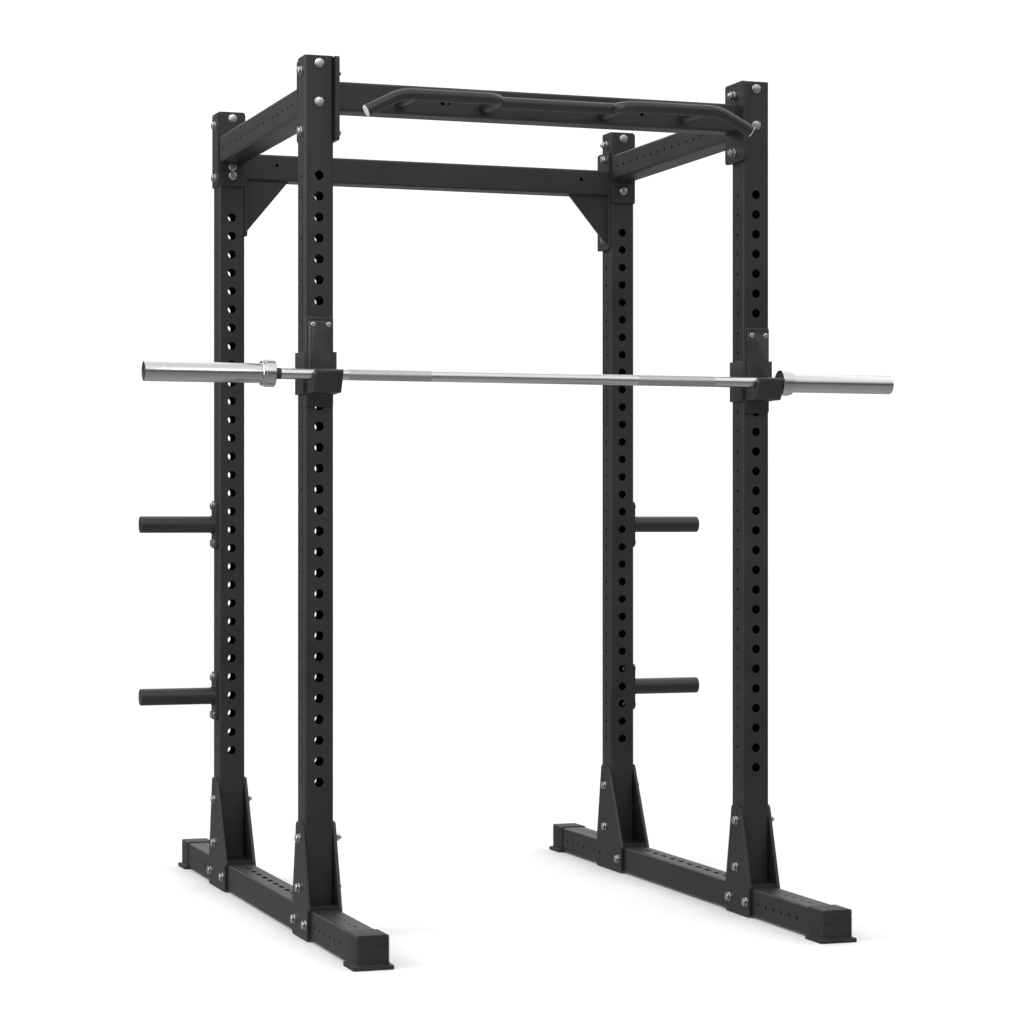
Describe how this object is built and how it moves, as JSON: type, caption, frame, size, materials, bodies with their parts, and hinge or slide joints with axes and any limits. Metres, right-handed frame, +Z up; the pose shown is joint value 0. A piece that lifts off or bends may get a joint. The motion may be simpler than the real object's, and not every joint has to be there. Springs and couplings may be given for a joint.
{
  "type": "power cage with barbell",
  "caption": "Four-post power cage with perforated square uprights, bolted beams, multi-grip pull-up bar, plate horns, and a barbell resting in its two bar cups.",
  "frame": {"origin": "on the floor, under the middle of the racked barbell and midway along the base tubes", "axes": "+X to the right along the barbell, +Y to the back of the cage, +Z up"},
  "size_m": [2.038, 1.987, 2.236],
  "materials": {
    "black_powder_coat": "fine textured black powder coat",
    "black_rubber": "matt moulded rubber",
    "black_plastic": "satin moulded plastic",
    "black_liner": "satin machined polyethylene",
    "grey_plastic": "light grey moulded plastic",
    "bright_zinc": "bright zinc plate",
    "chrome": "satin chrome plate",
    "polished_steel": "hard chrome on knurled steel",
    "bronze": "sintered bronze"
  },
  "bodies": {
    "cage": {"upright_front_left": "black_powder_coat", "foot_bracket_front_left": "black_powder_coat", "upright_front_right": "black_powder_coat", "foot_bracket_front_right": "black_powder_coat", "upright_rear_left": "black_powder_coat", "foot_bracket_rear_left": "black_powder_coat", "upright_rear_right": "black_powder_coat", "foot_bracket_rear_right": "black_powder_coat", "base_tube_left": "black_powder_coat", "side_beam_left": "black_powder_coat", "outer_plate_left": "black_powder_coat", "end_cap_front_left": "black_rubber", "end_cap_rear_left": "black_rubber", "storage_horn_upper_left": "black_powder_coat", "storage_horn_lower_left": "black_powder_coat", "grip_handle_left": "black_powder_coat", "base_tube_right": "black_powder_coat", "side_beam_right": "black_powder_coat", "outer_plate_right": "black_powder_coat", "end_cap_front_right": "black_rubber", "end_cap_rear_right": "black_rubber", "storage_horn_upper_right": "black_powder_coat", "storage_horn_lower_right": "black_powder_coat", "grip_handle_right": "black_powder_coat", "front_beam": "black_powder_coat", "rear_beam": "black_powder_coat", "grip_centre": "black_powder_coat", "grip_struts": "black_powder_coat", "grip_caps": "grey_plastic", "horn_caps": "black_plastic", "upright_plugs": "black_plastic", "long_bolts": "bright_zinc", "short_bolts": "bright_zinc", "washers": "bright_zinc", "nuts": "bright_zinc"},
    "cup_left": {"cup_frame_left": "black_powder_coat", "cup_pin_left": "bright_zinc", "cup_back_liner_left": "black_liner", "cup_seat_liner_left": "black_liner", "cup_screws_left": "bright_zinc"},
    "cup_right": {"cup_frame_right": "black_powder_coat", "cup_pin_right": "bright_zinc", "cup_back_liner_right": "black_liner", "cup_seat_liner_right": "black_liner", "cup_screws_right": "bright_zinc"},
    "barbell": {"bar_band_left": "black_rubber", "bar_band_right": "black_rubber", "bar_shaft": "polished_steel", "bar_snap_rings": "polished_steel"},
    "sleeve_left": {"bar_sleeve_left": "chrome", "bar_bushings_left": "bronze", "bar_end_plug_left": "black_plastic"},
    "sleeve_right": {"bar_sleeve_right": "chrome", "bar_bushings_right": "bronze", "bar_end_plug_right": "black_plastic"}
  },
  "joints": [
    {"name": "cup_left_pull", "type": "slide", "parent": "cage", "child": "cup_left", "axis": [0, -1, 0], "range_m": [0, 0.02]},
    {"name": "cup_right_pull", "type": "slide", "parent": "cage", "child": "cup_right", "axis": [0, -1, 0], "range_m": [0, 0.02]},
    {"name": "bar_lift", "type": "slide", "parent": "cage", "child": "barbell", "axis": [0, 0, 1], "range_m": [0, 0.25]},
    {"name": "sleeve_left_spin", "type": "hinge", "parent": "barbell", "child": "sleeve_left", "pos_m": [-0.85, -0.56, 1.4243], "axis": [1, 0, 0], "continuous": true},
    {"name": "sleeve_right_spin", "type": "hinge", "parent": "barbell", "child": "sleeve_right", "pos_m": [0.85, -0.56, 1.4243], "axis": [1, 0, 0], "continuous": true}
  ]
}
